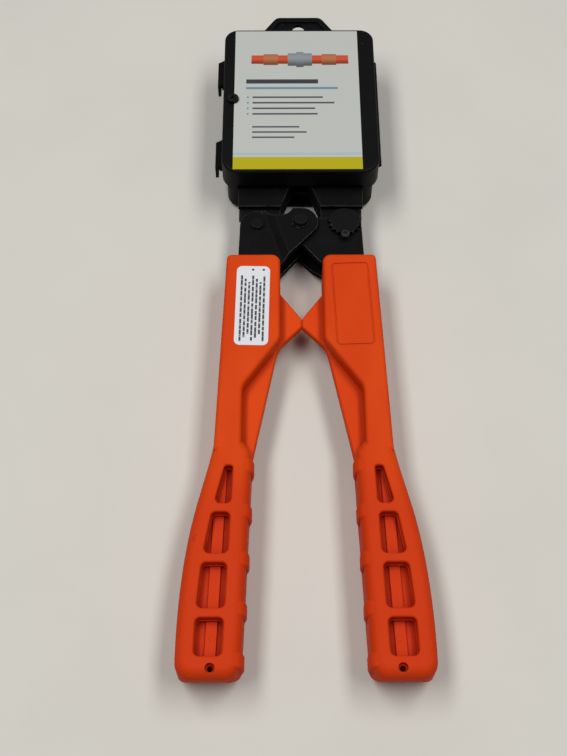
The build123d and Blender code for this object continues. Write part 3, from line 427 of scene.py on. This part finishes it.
def orange_composite(look):
    """Glass-filled moulding: matt skin, flow marks, flecks, painted shade darkening the grips,
    painted shade in the hollows and a mould seam.
    """
    made = Finish("orange_composite")
    flow = made.ramp(made.noise(34, 3, (1, 0.45, 1)), 0.38, 0.66)
    fleck = made.ramp(made.noise(0.8, 2), 0.62, 0.78)
    scuff = made.edges(0.9 * MM, 0.05, 0.3) * made.ramp(made.noise(6, 4), 0.42, 0.7)
    # painted shade: how deep a spot lies in hollows and corners
    deep = made.ramp(made.depth(9 * MM), 0.22, 0.75)
    _, y, z = made.axes()
    seam = made.ramp(abs(z - MID_HEIGHT), 0.26, 0.1)
    base = made.mix(flow * 0.8, look.orange, look.flow)
    # painted shade: the grips turn darker and redder towards their ends
    base = made.mix(made.ramp(y, GRIP_FROM, GRIP_FROM - GRIP_FADE) * 0.8, base, look.grip_shade)
    base = made.mix(fleck * 0.25, base, look.scuff)
    base = made.mix(scuff * 0.5, base, look.scuff)
    # painted shade: darker in hollows and corners
    base = made.mix(deep * 0.85, base, look.hollow_shade)
    grain = made.noise(look.grain / MM, 2)
    rough = look.roughness + (grain - 0.5) * 0.16 - scuff * 0.1
    relief = grain + seam * 2.0 + made.noise(2.6, 2) * 0.8
    return made.close(
        base, rough, height=relief, rise=0.03 * MM, round_edge=0.45 * MM, shine=0.13,
    )


def black_steel(look, dust, name="black_steel", dies=()):
    """Stamped and blackened steel: streaks, dry patches, painted shade on upright faces, rubbed
    edges, bright dies.
    """
    made = Finish(name)
    streak = made.noise(0.5, 2, (1, 0.04, 1))
    haze = made.ramp(made.noise(11, 4), 0.45, 0.72)
    fine = made.noise(0.22, 2)
    worn = made.edges(look.wear, 0.02, 0.16) * made.ramp(made.noise(5.0, 4), 0.28, 0.5)
    speck = made.ramp(made.noise(1.1, 1, shift=7.0), 0.79, 0.82)
    upright_shade = made.upright()
    base = made.mix(haze * 0.8, look.black, look.haze)
    # painted shade: upright faces darker; they are also made rougher
    base = made.mix(upright_shade, base, look.upright_shade)
    base = made.mix(worn * 0.7, base, look.worn)
    base = made.mix(speck * 0.7, base, dust)
    rough = look.roughness + (streak - 0.5) * 0.14 + haze * 0.08 - worn * 0.12 + upright_shade * 0.35
    metal = worn * 0.6
    for place, radius in dies:
        x, y, _ = made.axes((0, place, 0))
        away = from_axis(x, y)
        bright = made.ramp(away, radius + 0.5, radius + 0.2)
        base = made.mix(bright, base, look.die)
        metal = metal.most(bright)
        rough = rough - bright * 0.2
    relief = fine + streak * 0.7
    return made.close(base, rough, metal, relief, 0.012 * MM, round_edge=0.3 * MM, shine=0.06)


def turned_steel(look, node, paint, shine):
    """Turned and blackened pin or screw: fine tool rings round its middle, rubbed rims."""
    made = Finish(node + "_steel")
    x, y, _ = made.axes(middle(node))
    rings = (from_axis(x, y) * 22.0).sine() * 0.5 + 0.5
    fine = made.noise(0.25, 2)
    worn = made.edges(look.wear, 0.03, 0.25) * made.ramp(made.noise(1.6, 3), 0.35, 0.65)
    base = made.mix(made.noise(3.0, 3) * 0.5, paint, look.haze)
    base = made.mix(worn * 0.7, base, look.worn)
    rough = TURNED_ROUGHNESS + (fine - 0.5) * 0.2 - worn * 0.1
    relief = rings * 0.6 + fine
    return made.close(
        base, rough, worn * 0.6, relief, 0.012 * MM, round_edge=0.25 * MM, shine=shine,
    )


def plated_steel(look):
    """Plated gauge plate, brushed across the tool, with bright rims."""
    made = Finish("bright_steel")
    brush = made.noise(0.18, 2, (0.03, 1, 1))
    cloud = made.noise(9, 3)
    rim = made.edges(0.4 * MM, 0.03, 0.25)
    base = made.mix(cloud * 0.5, look.gauge, look.die)
    rough = PLATED_ROUGHNESS + (brush - 0.5) * 0.25 + cloud * 0.1 - rim * 0.08
    return made.close(base, rough, 1.0, brush, 0.01 * MM, round_edge=0.2 * MM)


def case_plastic(look):
    """Satin black moulding: pebbled skin, rubbed edges, fine scratches and specks of dust."""
    made = Finish("case_plastic")
    grain = made.noise(look.grain / MM, 2)
    cloud = made.ramp(made.noise(16, 4), 0.4, 0.7)
    rubbed = made.edges(0.7 * MM, 0.04, 0.3) * made.ramp(made.noise(4, 4), 0.4, 0.7)
    scratch = made.ramp(made.noise(0.9, 3, (1, 0.05, 1), 3.0), 0.7, 0.78)
    speck = made.ramp(made.noise(1.0, 1, shift=11.0), 0.79, 0.82)
    base = made.mix(rubbed * 0.6, look.plastic, look.rubbed)
    base = made.mix(scratch * cloud * 0.25, base, look.rubbed)
    base = made.mix(speck * 0.6, base, look.dust)
    rough = look.roughness + (grain - 0.5) * 0.2 + cloud * 0.1 - rubbed * 0.08
    return made.close(
        base, rough, height=grain, rise=0.035 * MM, round_edge=0.5 * MM, shine=0.08,
    )


class Drawing(Finish):
    """A printed finish: shapes drawn with soft borders, in millimetres from a centre."""

    SOFT = 0.07

    def __init__(self, name, centre, turn=0.0):
        super().__init__(name)
        self.x, self.y, _ = self.axes(centre, turn)

    def inside(self, value, limit):
        return self.ramp(value, limit + self.SOFT, limit - self.SOFT)

    def bar(self, x, y, width, height):
        across = self.inside(abs(self.x - x), width / 2)
        return across * self.inside(abs(self.y - y), height / 2)

    def dot(self, x, y, radius):
        return self.inside(from_axis(self.x - x, self.y - y), radius)

    def dashes(self, pitch, shift):
        """Broken line along Y, whose breaks wander."""
        line = {"W": self.y / pitch + shift * 9.0}
        wander = self.node("ShaderNodeTexNoise", {"noise_dimensions": "1D"}, line)
        count = self.y / pitch + shift + wander * 0.9
        return self.ramp(abs(count - count.floor() - 0.5), 0.43, 0.4)

    def rules(self, x, y, width, rows, pitch, thick, ragged):
        """Rows of ruled bars down from y, whose right ends differ."""
        count = (y - self.y) / pitch
        row = count.floor()
        wander = self.node("ShaderNodeTexWhiteNoise", {"noise_dimensions": "1D"}, {"W": row})
        band = self.inside(abs(count - row - 0.5), thick / pitch / 2)
        end = x + width - wander * ragged
        start = self.ramp(self.x, x - self.SOFT, x + self.SOFT)
        stop = self.ramp(self.x - end, self.SOFT, -self.SOFT)
        block = self.inside(abs(count - rows / 2), rows / 2)
        return band * start * stop * block


def card_print(look):
    """White laminated card: a tube with its fitting and rings, ruled bars and two plain bands."""
    low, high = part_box("label_card")
    half_height = (high - low)[1] / 2 / MM
    made = Drawing("card_print", middle("label_card"))
    fibre = made.noise(0.5, 3)
    base = made.mix(made.noise(24, 2) * 0.3, look.card, darker(look.card, 0.94))
    lime_top, sky_middle, sky_half, tube_y = 9.0, 11.4, 0.9, 31.0
    base = made.mix(made.inside(made.y, -half_height + lime_top), base, look.lime)
    base = made.mix(made.inside(abs(made.y + half_height - sky_middle), sky_half), base, look.sky)
    drawn = (  # place across, width, height, paint
        (2.0, 60.0, 7.0, look.tube),
        (2.0, 15.0, 10.4, look.fitting),
        (2.0, 4.6, 12.6, look.fitting),
        (-16.0, 9.0, 9.0, look.copper),
        (20.0, 9.0, 9.0, look.copper),
    )
    for x, width, height, paint in drawn:
        shade = made.ramp(abs(made.y - tube_y - height * 0.18), height * 0.62, height * 0.05)
        round_paint = made.mix(shade, darker(paint, 0.35), paint)
        base = made.mix(made.bar(x, tube_y, width, height), base, round_paint)
    headings = (  # middle, width, height, paint
        (-9.0, 13.0, 44.0, 3.4, look.ink),
        (-3.0, 7.6, 56.0, 1.7, look.teal),
    )
    for *spot, paint in headings:
        base = made.mix(made.bar(*spot), base, paint)
    lists = (  # left end, top, width, rows, pitch, thickness, how ragged, paint
        (-27.0, 2.5, 52.0, 4, 4.4, 1.2, 16.0, look.ink),
        (-30.4, 2.5, 1.2, 4, 4.4, 1.2, 0.0, look.teal),
        (-27.0, -21.0, 34.0, 3, 4.0, 1.1, 10.0, look.ink),
    )
    for *block, paint in lists:
        base = made.mix(made.rules(*block), base, paint)
    rough = CARD_ROUGHNESS + (fibre - 0.5) * 0.12
    return made.close(base, rough, height=fibre, rise=0.008 * MM, shine=0.35)


def tag_print(look):
    """White write-on tag: rows of broken rules along its length, with two dots at one end."""
    made = Drawing("tag_print", middle("left_sticker"), TAG_TURN)
    fibre = made.noise(0.4, 3)
    base = made.mix(made.noise(12, 2) * 0.35, look.tag, darker(look.tag, 0.93))
    rows, first, pitch, thick = 7, -6.3, 2.1, 1.15
    rows_y, longest, shorter, dash, slip = -2.0, 43.0, 4.4, 3.6, 0.37
    for number in range(rows):
        height = longest - (number % 3) * shorter
        line = made.bar(first + number * pitch, rows_y, thick, height)
        base = made.mix(line * made.dashes(dash, number * slip), base, look.ink)
    dots, dots_y, dot_radius = (-0.2, 5.8), 23.4, 0.7
    for x in dots:
        base = made.mix(made.dot(x, dots_y, dot_radius), base, look.ink)
    rough = TAG_ROUGHNESS + (fibre - 0.5) * 0.1
    return made.close(base, rough, height=fibre, rise=0.006 * MM)


def leaflet_paper(look):
    """Uncoated paper with a heading bar and rows of ruled print."""
    made = Drawing("leaflet_paper", middle("instruction_leaflet"))
    fibre = made.noise(0.35, 4)
    base = made.mix(made.noise(14, 3) * 0.4, look.paper, darker(look.paper, 0.9))
    base = made.mix(made.bar(0.0, 38.0, 40.0, 3.0), base, look.ink)
    base = made.mix(made.rules(-27.0, 30.0, 52.0, 14, 4.2, 1.0, 14.0) * 0.8, base, look.ink)
    rough = PAPER_ROUGHNESS + (fibre - 0.5) * 0.2
    return made.close(base, rough, height=fibre, rise=0.02 * MM)


def seen_rays(made):
    """1 for rays that the camera, a mirror or glass sends, 0 for light's own bounces."""
    rays = ("Is Camera Ray", "Is Glossy Ray", "Is Transmission Ray")
    direct, glossy, passed = made.node("ShaderNodeLightPath", out=rays)
    return direct.most(glossy).most(passed)


def floor_finish(look):
    """Plain matt floor, which fades into the backdrop far from the tool."""
    made = Finish("floor")
    tone = made.ramp(made.noise(90, 4), 0.3, 0.75)
    base = made.mix(tone, look.floor, darker(look.floor, 0.965))
    rough = FLOOR_ROUGHNESS + (made.noise(8, 3) - 0.5) * 0.12
    values = {"Base Color": base, "Roughness": rough, "Specular IOR Level": 0.3}
    near = made.node("ShaderNodeBsdfPrincipled", None, values)
    back = made.node("ShaderNodeEmission", None, {0: (*look.sky, 1.0), 1: 1.0})
    x, y, _ = made.axes()
    far = made.ramp(from_axis(x, y), *FLOOR_FADE)
    both = made.node("ShaderNodeMixShader", None, {0: far * seen_rays(made), 1: near, 2: back})
    made.node("ShaderNodeOutputMaterial", None, {"Surface": both}, None)
    return made.material


def surface_point(node, x, y, down=True):
    """Where a line along Z meets a node's surface, from above or from below."""
    way = -1 if down else 1
    clear = 0.1  # more than the tool is high
    start = Vector((x * MM, y * MM, -way * clear))
    hit, place, _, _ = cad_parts[node].ray_cast(start, Vector((0, 0, way)))
    if not hit:
        raise RuntimeError(f"no surface of {node} at {x}, {y}")
    return place


def ejector_layout():
    """Thin rings round the places where ejector pins met the moulding."""
    radii = {"Pin Radius": "NodeSocketFloat", "Line Radius": "NodeSocketFloat"}
    made = Layout("ejector_marks", radii)
    circle = {"Resolution": EJECTOR_POINTS, "Radius": made.given["Pin Radius"]}
    loop = made.node("GeometryNodeCurvePrimitiveCircle", None, circle)
    wire = {"Resolution": EJECTOR_SIDES, "Radius": made.given["Line Radius"]}
    profile = made.node("GeometryNodeCurvePrimitiveCircle", None, wire)
    ring = made.node("GeometryNodeCurveToMesh", None, {"Curve": loop, "Profile Curve": profile})
    spots = {"Points": made.given["Geometry"], "Instance": ring}
    made.close(made.node("GeometryNodeInstanceOnPoints", None, spots))
    return made


def leaflet_layout():
    """A folded strip of paper: the line of its folds is swept along the tool."""
    made = Layout("leaflet_folds", {"Fold Radius": "NodeSocketFloat", "Height": "NodeSocketFloat"})
    line = made.node("GeometryNodeMeshToCurve", None, {0: made.given["Geometry"]})
    sockets = {"Curve": line, "Radius": made.given["Fold Radius"], "Count": FOLD_POINTS}
    folds = made.node("GeometryNodeFilletCurve", {"mode": "POLY"}, sockets)
    half = made.given["Height"] * 0.5
    start = made.node("ShaderNodeCombineXYZ", None, {"X": half * -1.0})
    end = made.node("ShaderNodeCombineXYZ", None, {"X": half})
    edge = made.node("GeometryNodeCurvePrimitiveLine", None, {"Start": start, "End": end})
    sheet = made.node("GeometryNodeCurveToMesh", None, {"Curve": folds, "Profile Curve": edge})
    made.close(sheet)
    return made


class CRIMP_OT_handles(bpy.types.Operator):
    """Gives both handles their moulded finish and ejector marks"""

    bl_idname = "crimp_tool.handles"
    bl_label = "Handles"

    def execute(self, context):
        look = context.scene.crimp_tool.handles
        material = orange_composite(look)
        dress(material, *HANDLES)
        layout = ejector_layout()
        for node, tops in EJECTOR_TOPS.items():
            side = -1 if node == "left_handle" else 1
            points = [surface_point(node, x, y) for x, y in tops]
            for x, y in EJECTOR_UNDERS:
                points.append(surface_point(node, side * x, y, down=False))
            marks = new_piece(node + "_ejector_marks", points)
            layout.lay(
                marks, Pin_Radius=look.mark_radius, Line_Radius=look.mark_line, Material=material,
            )
            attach(marks, node)
        return {"FINISHED"}


class CRIMP_OT_head(bpy.types.Operator):
    """Gives the plates, straps, jaws, pins and lock screw their steel finishes"""

    bl_idname = "crimp_tool.head"
    bl_label = "Head"

    def execute(self, context):
        look = context.scene.crimp_tool.steel
        dust = context.scene.crimp_tool.case.dust
        dress(black_steel(look, dust), *PLATES, *STRAPS)
        dress(black_steel(look, dust, "jaw_steel", DIES), *JAWS)
        for node in PINS:
            dress(turned_steel(look, node, look.pin, shine=0.08), node)
        screw = "cam_lock_screw"
        dress(turned_steel(look, screw, look.screw, shine=0.3), screw)
        return {"FINISHED"}


class CRIMP_OT_case(bpy.types.Operator):
    """Gives the case its satin plastic, and its hinge pin and screw their steel"""

    bl_idname = "crimp_tool.case"
    bl_label = "Case"

    def execute(self, context):
        dress(case_plastic(context.scene.crimp_tool.case), *CASE_SHELLS)
        steel = context.scene.crimp_tool.steel
        for node in CASE_STEEL:
            dress(turned_steel(steel, node, steel.pin, shine=0.1), node)
        return {"FINISHED"}


class CRIMP_OT_card(bpy.types.Operator):
    """Prints the label card on the cover"""

    bl_idname = "crimp_tool.card"
    bl_label = "Label Card"

    def execute(self, context):
        dress(card_print(context.scene.crimp_tool.prints), "label_card")
        return {"FINISHED"}


class CRIMP_OT_tag(bpy.types.Operator):
    """Prints the write-on tag on the left handle"""

    bl_idname = "crimp_tool.tag"
    bl_label = "Write-on Tag"

    def execute(self, context):
        dress(tag_print(context.scene.crimp_tool.prints), "left_sticker")
        return {"FINISHED"}


class CRIMP_OT_gauge(bpy.types.Operator):
    """Gives the crimp gauge its plated finish"""

    bl_idname = "crimp_tool.gauge"
    bl_label = "Gauge"

    def execute(self, context):
        dress(plated_steel(context.scene.crimp_tool.steel), "crimp_gauge")
        return {"FINISHED"}


class CRIMP_OT_leaflet(bpy.types.Operator):
    """Folds the paper leaflet under the cover's roof"""

    bl_idname = "crimp_tool.leaflet"
    bl_label = "Leaflet"

    def execute(self, context):
        look = context.scene.crimp_tool.leaflet
        low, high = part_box("instruction_leaflet")
        middle_y = (low.y + high.y) / 2
        pitch = (high.z - low.z - look.sheet) / (look.panels - 1)
        fold_radius = pitch * 0.45  # under half the pitch, so that the panels lie level
        inset = look.sheet
        points = []
        for number in range(look.panels):
            z = low.z + look.sheet / 2 + number * pitch
            slip = look.stagger * ((number * 5) % 7) / 6  # an uneven stack
            ends = [low.x + inset + slip, high.x - inset - slip * 0.6]
            if number % 2:
                ends.reverse()
            points += [(x, middle_y, z) for x in ends]
        lines = [(index, index + 1) for index in range(len(points) - 1)]
        leaflet = new_piece("folded_leaflet", points, lines)
        material = leaflet_paper(context.scene.crimp_tool.prints)
        leaflet_layout().lay(
            leaflet, Fold_Radius=fold_radius, Height=high.y - low.y, Material=material,
        )
        wall = leaflet.modifiers.new("paper", "SOLIDIFY")
        wall.thickness = look.sheet
        wall.offset = 0.0
        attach(leaflet, "cover")
        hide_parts("instruction_leaflet")
        return {"FINISHED"}


class CRIMP_OT_stage(bpy.types.Operator):
    """Sets the floor, the soft light and the camera"""

    bl_idname = "crimp_tool.stage"
    bl_label = "Stage"

    def execute(self, context):
        look = context.scene.crimp_tool.stage
        self.floor(context, look)
        self.light(context, look)
        self.camera(context, look)
        context.scene.view_settings.view_transform = "Standard"
        return {"FINISHED"}

    def floor(self, context, look):
        mesh = bpy.data.meshes.new("floor")
        corners = [
            (across * FLOOR_REACH, along * FLOOR_REACH, FLOOR_LEVEL)
            for across, along in ((-1, -1), (1, -1), (1, 1), (-1, 1))
        ]
        mesh.from_pydata(corners, [], [(0, 1, 2, 3)])
        mesh.materials.append(floor_finish(look))
        floor = bpy.data.objects.new("floor", mesh)
        context.scene.collection.objects.link(floor)

    def light(self, context, look):
        world = bpy.data.worlds.new("studio")
        context.scene.world = world
        world.use_nodes = True
        made = Nodes(world.node_tree)
        made.tree.nodes.clear()
        fill = made.node("ShaderNodeBackground", None, {0: (1.0, 1.0, 1.0, 1.0), 1: look.fill})
        back = made.node("ShaderNodeBackground", None, {0: (*look.sky, 1.0), 1: 1.0})
        both = made.node("ShaderNodeMixShader", None, {0: seen_rays(made), 1: fill, 2: back})
        made.node("ShaderNodeOutputWorld", None, {0: both}, None)
        for name, x, part in SOFT_BOXES:
            lamp = bpy.data.lights.new(name, "AREA")
            lamp.shape = "RECTANGLE"
            lamp.size, lamp.size_y = SOFT_BOX_SIZE
            lamp.energy = look.lamp * part
            holder = bpy.data.objects.new(name, lamp)
            context.scene.collection.objects.link(holder)
            holder.location = (x, SOFT_BOX_ALONG, SOFT_BOX_HEIGHT)
            holder.rotation_euler = (0, math.atan2(x, SOFT_BOX_HEIGHT), 0)

    def camera(self, context, look):
        camera = bpy.data.cameras.new("camera")
        camera.lens = look.lens
        camera.sensor_width = SENSOR_WIDTH
        holder = bpy.data.objects.new("camera", camera)
        context.scene.collection.objects.link(holder)
        pivot = Vector(TURN_CENTRE)
        turn = Matrix.Rotation(look.turn, 3, "Z")
        holder.location = pivot + turn @ (Vector(look.eye) - pivot)
        holder.rotation_euler = (math.pi / 2 - look.pitch, 0, look.turn)
        context.scene.camera = holder


class CRIMP_PT_sidebar(bpy.types.Panel):
    bl_idname = "CRIMP_PT_sidebar"
    bl_label = "Crimp Tool"
    bl_space_type = "VIEW_3D"
    bl_region_type = "UI"
    bl_category = "Crimp Tool"

    def draw(self, context):
        looks = context.scene.crimp_tool
        for name in ("handles", "steel", "case", "prints", "leaflet", "stage"):
            box = self.layout.box()
            box.label(text=name.capitalize())
            look = getattr(looks, name)
            for key in look.__annotations__:
                box.prop(look, key)
        for operator in OPERATORS:
            self.layout.operator(operator.bl_idname)


OPERATORS = (
    CRIMP_OT_handles,
    CRIMP_OT_head,
    CRIMP_OT_case,
    CRIMP_OT_card,
    CRIMP_OT_tag,
    CRIMP_OT_gauge,
    CRIMP_OT_leaflet,
    CRIMP_OT_stage,
)
CLASSES = (
    HandleLook,
    SteelLook,
    CaseLook,
    PrintLook,
    LeafletLook,
    StageLook,
    CrimpToolLook,
    *OPERATORS,
    CRIMP_PT_sidebar,
)


def register():
    for item in CLASSES:
        bpy.utils.register_class(item)
    bpy.types.Scene.crimp_tool = PointerProperty(type=CrimpToolLook)


def unregister():
    del bpy.types.Scene.crimp_tool
    for item in reversed(CLASSES):
        bpy.utils.unregister_class(item)


def main():
    register()
    bpy.ops.crimp_tool.handles()
    bpy.ops.crimp_tool.head()
    bpy.ops.crimp_tool.case()
    bpy.ops.crimp_tool.card()
    bpy.ops.crimp_tool.tag()
    bpy.ops.crimp_tool.gauge()
    bpy.ops.crimp_tool.leaflet()
    bpy.ops.crimp_tool.stage()


if __name__ == "__main__":
    main()
